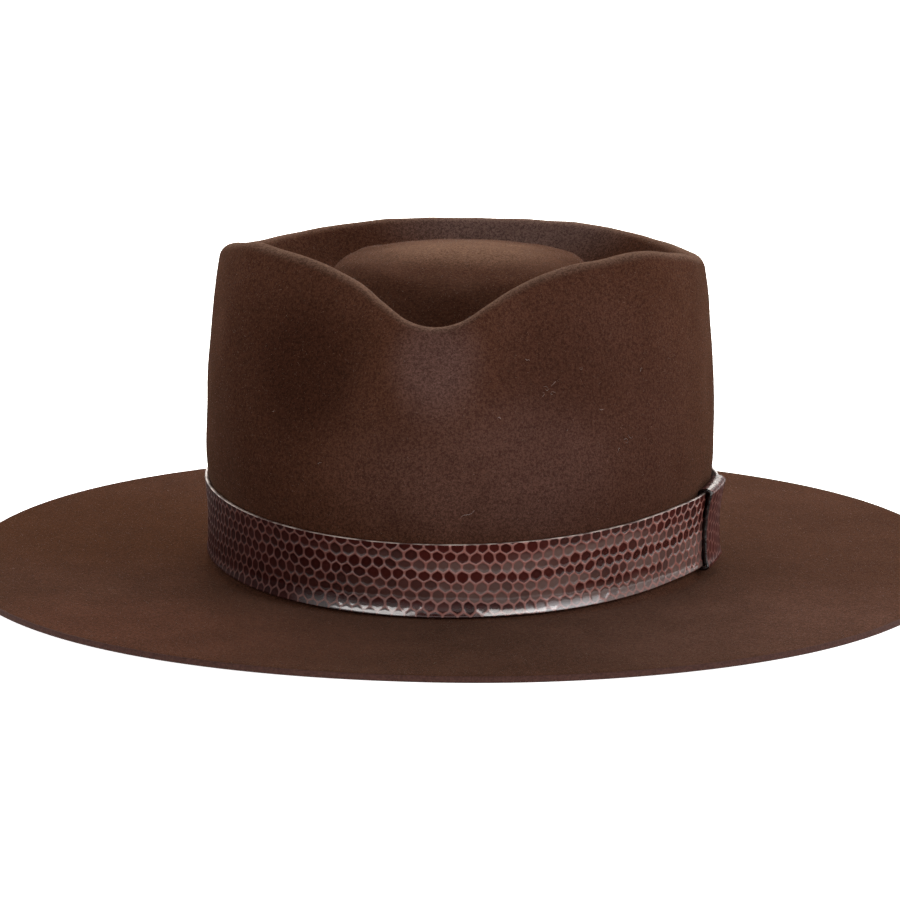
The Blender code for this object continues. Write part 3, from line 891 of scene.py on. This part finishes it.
def band_arc(azimuth):
    """Distance along the middle of the band, from the first azimuth."""
    middle = 0.5 * BAND_WIDTH + band_foot(azimuth)
    line = on_azimuth(azimuth, band_inner_reach(azimuth, middle, section(azimuth)), middle)
    steps = np.linalg.norm(np.diff(line, axis=0), axis=-1)
    return np.concatenate([[0.0], np.cumsum(steps)])


def ring_faces(total, count, places):
    """Quads of a strip of closed rings with count points, and their pattern coordinates.

    The strip closes on itself where there is a column of places for each of its points and one
    more. There is one row of places more than rings.
    """
    ring = np.arange(total)[:, None]
    column = np.arange(places.shape[1] - 1)
    low, high = ring * count, (ring + 1) % total * count
    beside = (column + 1) % count
    quads = np.stack([low + column, low + beside, high + beside, high + column], axis=-1)
    uv = [places[:-1, :-1], places[:-1, 1:], places[1:, 1:], places[1:, :-1]]
    return quads.reshape(-1, 4), np.stack(uv, axis=2).reshape(-1, 4, 2)


def build_band():
    """The leather strip, its scales raised on the outer face. Its joint lies under the keeper."""
    azimuth = KEEPER_AZIMUTH + TURN * np.arange(BAND_COLUMNS + 1) / BAND_COLUMNS
    row = section(azimuth)
    foot = band_foot(azimuth)
    width = band_width(azimuth)
    arc = band_arc(azimuth)
    turn = np.abs((azimuth - KEEPER_AZIMUTH + math.pi) % TURN - math.pi)
    shown = smooth_step((turn * waist_reach(KEEPER_AZIMUTH) / (0.5 * KEEPER_WIDTH) - 0.5) / 0.3)
    rings = []
    places = []

    def add_ring(share, depth, along, relief):
        """One ring of the band's section: share of its width, and depth in from the outer face."""
        height = foot + width * share
        u, v = scale_wander(arc / SCALE_LENGTH, along / SCALE_ROW)
        reach = band_inner_reach(azimuth, height, row) + BAND_LEATHER - depth
        if relief:
            fade = smooth_step((1.0 - share) * BAND_WIDTH / TOP_FADE)
            fade = fade * smooth_step(share * BAND_WIDTH / FOOT_FADE)
            reach = reach + (scale_relief(u, v) - 0.6 * SCALE_RELIEF) * shown * fade
        rings.append(on_azimuth(azimuth, reach, height))
        places.append(np.stack([u, v], axis=-1))

    round_share = BAND_EDGE_ROUND / BAND_WIDTH
    for share in np.linspace(round_share, 1.0 - round_share, BAND_ROWS + 1):
        add_ring(share, 0.0, share * BAND_WIDTH, True)
    for angle in np.linspace(0.0, 0.5 * math.pi, BAND_EDGE_ROWS + 1)[1:]:
        share = 1.0 - round_share * (1.0 - math.sin(angle))
        add_ring(share, BAND_EDGE_ROUND * (1.0 - math.cos(angle)), share * BAND_WIDTH, False)
    add_ring(1.0, BAND_LEATHER, BAND_WIDTH + 0.5 * BAND_LEATHER, False)
    for share in np.linspace(1.0, 0.0, 7)[1:-1]:
        add_ring(share, BAND_LEATHER, share * BAND_WIDTH, False)
    add_ring(0.0, BAND_LEATHER, -0.5 * BAND_LEATHER, False)
    for angle in np.linspace(0.5 * math.pi, 0.0, BAND_EDGE_ROWS + 1)[:-1]:
        share = round_share * (1.0 - math.sin(angle))
        add_ring(share, BAND_EDGE_ROUND * (1.0 - math.cos(angle)), share * BAND_WIDTH, False)

    points = np.stack(rings)[:, :-1]
    total, count = points.shape[:2]
    faces, uv = ring_faces(total, count, np.stack(places + places[:1]))
    slots = np.zeros((total, count), dtype=np.int32)
    slots[BAND_ROWS + BAND_EDGE_ROWS + 1:total - BAND_EDGE_ROWS - 1] = 1
    slots[BAND_ROWS + 1:BAND_ROWS + BAND_EDGE_ROWS + 1] = 2
    flesh = mottled_material(
        "band_flesh_side", (900.0, 3.0, 0.6), None, (0.05, 0.022, 0.015), (0.11, 0.055, 0.04),
        (0.1 * MM, 0.5), Roughness=0.9)
    # The rounded top edge is painted pale: a painted highlight along it.
    edge_highlight = mottled_material(
        "band_edge_highlight", (160.0, 3.0, 0.6), (0.35, 0.62), (0.07, 0.030, 0.024),
        (0.42, 0.34, 0.30), Roughness=0.45, Specular_IOR_Level=0.5)
    leather = leather_material(
        "scale_leather", (0.0105, 0.0016, 0.0012), (0.044, 0.0074, 0.0056), (0.242, 0.096, 0.079),
        0.03, 1.0, 1.0, 0.13)
    return make_object("scale_band", points.reshape(-1, 3), faces, [leather, flesh, edge_highlight],
                       slots.ravel(), uv)


def build_keeper():
    """The loop that hides the band's joint, with painted cut edges."""
    half_turn = 0.5 * KEEPER_WIDTH / waist_reach(KEEPER_AZIMUTH)
    azimuth = KEEPER_AZIMUTH + half_turn * np.linspace(-1.0, 1.0, KEEPER_COLUMNS + 1)
    row = section(azimuth)
    foot = band_foot(azimuth)
    width = band_width(azimuth)
    shares = np.linspace(0.0, 1.0, 37)

    def outline(grow):
        """Rings round the band's section at a distance: up its inner face and down the outer."""
        inner = [(band_inner_reach(azimuth, foot + width * s, row) - grow, foot + width * s)
                 for s in shares]
        outer = []
        for s in shares:
            height = foot + width * s
            reach = band_inner_reach(azimuth, height, row) + BAND_LEATHER
            swell = KEEPER_SWELL * s ** 3 + KEEPER_FOOT_SWELL * (1.0 - s) ** 4
            outer.append((reach + grow + swell, height))
        rings = list(inner)
        for start, end, rise in ((inner[-1], outer[-1], grow), (outer[0], inner[0], -grow)):
            if end is inner[0]:
                rings += outer[::-1]
            middle, half = 0.5 * (start[0] + end[0]), 0.5 * (start[0] - end[0])
            for angle in np.linspace(0.0, math.pi, KEEPER_BEND_STEPS)[1:-1]:
                rings.append((middle + half * math.cos(angle), start[1] + rise * math.sin(angle)))
        return np.stack([on_azimuth(azimuth, *ring) for ring in rings])

    hole = outline(SEAT_GAP)
    skin = outline(SEAT_GAP + KEEPER_LEATHER)
    steps = np.linalg.norm(np.diff(skin, axis=0, append=skin[:1]), axis=-1).mean(axis=1)
    around = np.concatenate([[0.0], np.cumsum(steps)])
    across = KEEPER_WIDTH * np.linspace(0.0, 1.0, KEEPER_COLUMNS + 1)
    u, v = scale_wander(
        40.0 + (across[None, :] + KEEPER_SLANT * around[:, None]) / SCALE_LENGTH,
        20.0 + (around[:, None] - KEEPER_SLANT * across[None, :]) / SCALE_ROW)
    along = np.roll(skin, -1, axis=0) - np.roll(skin, 1, axis=0)
    beside = np.gradient(skin, axis=1)
    normals = np.cross(beside, along)
    normals /= np.linalg.norm(normals, axis=-1, keepdims=True)
    away = skin - skin.mean(axis=0, keepdims=True)
    normals *= np.sign((normals * away).sum(axis=(0, 1, 2)))
    inset = np.minimum(across, KEEPER_WIDTH - across)
    rim = smooth_step(inset / KEEPER_EDGE)
    relief = KEEPER_RELIEF * (scale_relief(u[:-1], v[:-1]) - 0.3 * SCALE_RELIEF) - KEEPER_SINK
    skin = skin + normals * (relief * rim[None, :])[..., None]
    total, count = hole.shape[:2]
    vertices = np.concatenate([hole.reshape(-1, 3), skin.reshape(-1, 3)])
    quads, uv = ring_faces(total, count, np.stack([u, v], axis=-1))
    sides = []
    for column in (0, count - 1):
        low = np.arange(total) * count + column
        high = np.roll(low, -1)
        side = np.stack([low, high, total * count + high, total * count + low], axis=-1)
        sides.append(side if column else side[:, ::-1])
    faces = np.concatenate([quads[:, ::-1], total * count + quads, *sides])
    uv = np.concatenate([uv[:, ::-1], uv, np.zeros((2 * total, 4, 2))])
    slots = np.repeat([2, 0, 1], [len(quads), len(quads), 2 * total])
    leather = leather_material(
        "keeper_scale_leather", (0.014, 0.0022, 0.0018), (0.046, 0.0090, 0.0070),
        (0.130, 0.042, 0.034), 0.20, 0.05, 0.0, 0.24)
    cut_edge = mottled_material(
        "edge_paint", (700.0, 3.0, 0.6), None, (0.003, 0.002, 0.002), (0.010, 0.006, 0.006),
        (0.25 * MM, 0.7), Roughness=0.22, Coat_Weight=0.6, Coat_Roughness=0.1)
    flesh = bpy.data.materials["band_flesh_side"]
    return make_object("keeper_loop", vertices, faces, [leather, cut_edge, flesh], slots, uv)


def dress(piece, node):
    """Let a piece ride on the hat and stand for its CAD node."""
    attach(piece, "root")
    if node:
        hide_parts(node)


felt, felt_outer, felt_normals = build_felt()
dress(felt, "felt_body")
dress(build_nap(felt_outer, felt_normals), None)
dress(build_lint(), None)
hair_material("nap_fuzz", (0.024, 0.0095, 0.0055), (0.125, 0.066, 0.046))
for fuzz_name, fuzz_seed, on_crown in (("felt_fuzz_crown", 1, True), ("felt_fuzz_brim", 2, False)):
    fuzz = build_fuzz(fuzz_name, felt_outer, felt_normals, HAIR_SEED + fuzz_seed, on_crown)
    dress(fuzz, None)
dress(build_band(), "hat_band")
dress(build_keeper(), "band_keeper")


# The floor: a wide pale disc that curves up well beyond the cameras, which stand up to 3.5 m out,
# and how much each part glows by itself. The glow changes over a range of height and one of y.
FLOOR_COLUMNS = 96
FLOOR_RADII = (0.001, 0.4, 1.2, 2.6, 5.2)
WALL_CURVE = 2.8
WALL_HEIGHT = 6.4
WALL_RISE = (0.0, 0.70)
WALL_DEPTH = (-4.4, 1.2)
FLOOR_GLOW = 0.85
WALL_GLOW = 0.33
DARK_SIDE_GLOW = 0.11


def build_floor():
    """A plain pale floor with a backdrop that rises beyond it."""
    count = FLOOR_COLUMNS
    rings = [(radius, 0.0) for radius in FLOOR_RADII]
    for angle in np.linspace(0.0, 0.5 * math.pi, 13)[1:]:
        rings.append((FLOOR_RADII[-1] + WALL_CURVE * math.sin(angle),
                      WALL_CURVE * (1.0 - math.cos(angle))))
    rings.append((FLOOR_RADII[-1] + WALL_CURVE, WALL_HEIGHT))
    azimuth = TURN * np.arange(count) / count
    vertices = np.concatenate([
        on_azimuth(azimuth, np.full_like(azimuth, radius), height) for radius, height in rings])
    faces = [list(range(count))]
    for base in range(0, (len(rings) - 1) * count, count):
        for c in range(count):
            d = (c + 1) % count
            faces.append([base + c, base + d, base + count + d, base + count + c])
    n = Nodes("pale_floor")
    place = n.place()
    soft = n.noise(place, 3.0, 2.0)
    _, y, z = n.split(place)
    wall = n.map(y, *WALL_DEPTH, DARK_SIDE_GLOW, WALL_GLOW)
    glow = n.map(z, *WALL_RISE, FLOOR_GLOW, wall)
    n.set(Base_Color=n.mix(soft, (0.78, 0.78, 0.78), (0.82, 0.82, 0.82)), Roughness=0.9,
          Specular_IOR_Level=0.1, Emission_Color=(1.0, 1.0, 1.0), Emission_Strength=glow)
    floor = make_object("floor", vertices, faces, [n.material])
    return floor


build_floor()


# The lights, each a soft rectangle that faces the crown.
# bearing: degrees round the hat from its front, towards +X. rise: degrees above the floor.
# distance and size: metres. power: watts.
LIGHT_AIM = Vector((0.0, 0.0, 0.07))
LIGHTS = (
    ("back_low", 180.0, 30.0, 1.5, (0.8, 0.8), 27.0, (1.0, 0.97, 0.92)),
    ("back_right", 138.0, 30.0, 1.5, (1.2, 0.7), 11.0, (1.0, 0.97, 0.95)),
    ("back_left", -150.0, 40.0, 1.5, (0.8, 0.8), 17.5, (1.0, 0.94, 0.87)),
    ("right_softbox", 66.0, 26.0, 1.5, (0.9, 0.9), 8.5, (0.90, 0.96, 1.0)),
    ("left_strip", -38.0, 35.0, 1.4, (0.90, 0.34), 5.0, (1.0, 0.97, 0.95)),
    ("right_strip", 46.0, 35.0, 1.4, (0.90, 0.34), 6.0, (1.0, 0.97, 0.95)),
)


def build_lights():
    """Soft rectangular lights, each aimed at the crown."""
    for name, bearing, rise, distance, size, power, colour in LIGHTS:
        data = bpy.data.lights.new(name, "AREA")
        data.shape = "RECTANGLE"
        data.size, data.size_y = size
        data.energy = power
        data.color = colour
        flat = distance * math.cos(math.radians(rise))
        bearing = math.radians(bearing)
        away = Vector((flat * math.sin(bearing), -flat * math.cos(bearing),
                       distance * math.sin(math.radians(rise))))
        lamp = bpy.data.objects.new(name, data)
        lamp.location = LIGHT_AIM + away
        lamp.visible_camera = False
        lamp.rotation_euler = (-away).to_track_quat("-Z", "Y").to_euler()
        bpy.context.scene.collection.objects.link(lamp)


build_lights()

# A little light from everywhere.
WORLD_COLOUR = (1.0, 0.99, 0.98, 1.0)
WORLD_POWER = 0.03
world = bpy.data.worlds.new("studio")
world.use_nodes = True
world.node_tree.nodes["Background"].inputs["Color"].default_value = WORLD_COLOUR
world.node_tree.nodes["Background"].inputs["Strength"].default_value = WORLD_POWER
bpy.context.scene.world = world
bpy.context.scene.view_settings.view_transform = "Standard"
bpy.context.scene.view_settings.look = "None"

# The camera of the photograph: its angles, distance, scale and the point it aims at.
CAMERA_TILT = math.radians(10.4)
CAMERA_YAW = math.radians(6.2)
CAMERA_ROLL = math.radians(0.45)
CAMERA_DISTANCE = 2.0
CAMERA_AIM = Vector((0.0, 0.0, 0.05))
FRAME_PIXELS = 900.0
PIXELS_PER_METRE = 2858.0
AIM_PIXEL = (460.9, 421.8)
SENSOR = 36.0


def build_camera():
    """The photograph's camera, with the shift that frames the hat as it does."""
    right = Vector((math.cos(CAMERA_YAW), math.sin(CAMERA_YAW), 0.0))
    level = Vector((-math.sin(CAMERA_YAW), math.cos(CAMERA_YAW), 0.0))
    forward = level * math.cos(CAMERA_TILT) - Vector((0.0, 0.0, 1.0)) * math.sin(CAMERA_TILT)
    up = right.cross(forward)
    data = bpy.data.cameras.new("camera")
    data.sensor_width = SENSOR
    data.lens = PIXELS_PER_METRE * CAMERA_DISTANCE / FRAME_PIXELS * SENSOR
    data.shift_x = (0.5 * FRAME_PIXELS - AIM_PIXEL[0]) / FRAME_PIXELS
    data.shift_y = (AIM_PIXEL[1] - 0.5 * FRAME_PIXELS) / FRAME_PIXELS
    camera = bpy.data.objects.new("camera", data)
    turn = Matrix((right, up, -forward)).transposed().to_4x4()
    place = Matrix.Translation(CAMERA_AIM - forward * CAMERA_DISTANCE)
    camera.matrix_world = place @ turn @ Matrix.Rotation(CAMERA_ROLL, 4, "Z")
    bpy.context.scene.collection.objects.link(camera)
    bpy.context.scene.camera = camera


build_camera()

bpy.context.view_layer.update()
